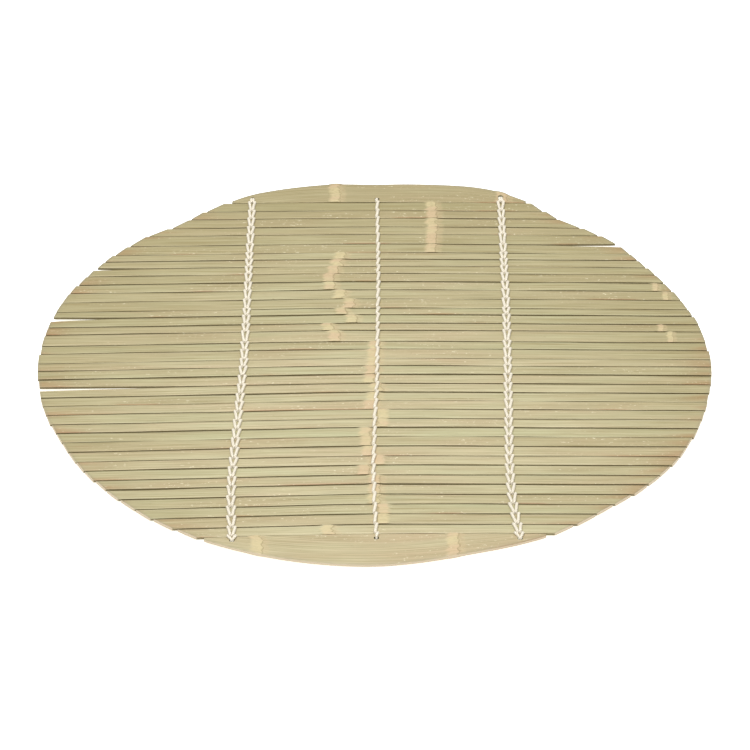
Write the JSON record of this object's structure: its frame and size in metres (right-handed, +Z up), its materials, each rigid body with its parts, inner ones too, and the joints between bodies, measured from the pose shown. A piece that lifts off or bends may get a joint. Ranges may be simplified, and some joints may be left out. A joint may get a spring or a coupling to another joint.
{
  "type": "bamboo steamer mat",
  "caption": "Round bamboo steamer mat: narrow split-bamboo slats between wide end pieces, sewn side by side with white cotton cord.",
  "frame": {"origin": "on the surface that the mat lies on, under the middle of its round outline", "axes": "+X along the slats, to the right in the picture; +Y along the cords, away from the viewer; +Z up through the mat's thickness"},
  "size_m": [0.2411, 0.2418, 0.0034],
  "materials": {
    "bamboo": "split and planed, unvarnished, satin",
    "cotton": "twisted, undyed, matt"
  },
  "bodies": {
    "root": {"end_piece_far": "bamboo", "slat_01": "bamboo", "slat_02": "bamboo", "slat_03": "bamboo", "slat_04": "bamboo", "slat_05": "bamboo", "slat_06": "bamboo", "slat_07": "bamboo", "slat_08": "bamboo", "slat_09": "bamboo", "slat_10": "bamboo", "slat_11": "bamboo", "slat_12": "bamboo", "slat_13": "bamboo", "slat_14": "bamboo", "slat_15": "bamboo", "slat_16": "bamboo", "slat_17": "bamboo", "slat_18": "bamboo", "slat_19": "bamboo", "slat_20": "bamboo", "slat_21": "bamboo", "slat_22": "bamboo", "slat_23": "bamboo", "slat_24": "bamboo", "slat_25": "bamboo", "slat_26": "bamboo", "slat_27": "bamboo", "slat_28": "bamboo", "slat_29": "bamboo", "slat_30": "bamboo", "slat_31": "bamboo", "slat_32": "bamboo", "slat_33": "bamboo", "slat_34": "bamboo", "slat_35": "bamboo", "slat_36": "bamboo", "slat_37": "bamboo", "slat_38": "bamboo", "end_piece_near": "bamboo", "cord_left": "cotton", "cord_centre": "cotton", "cord_right": "cotton"}
  },
  "joints": []
}
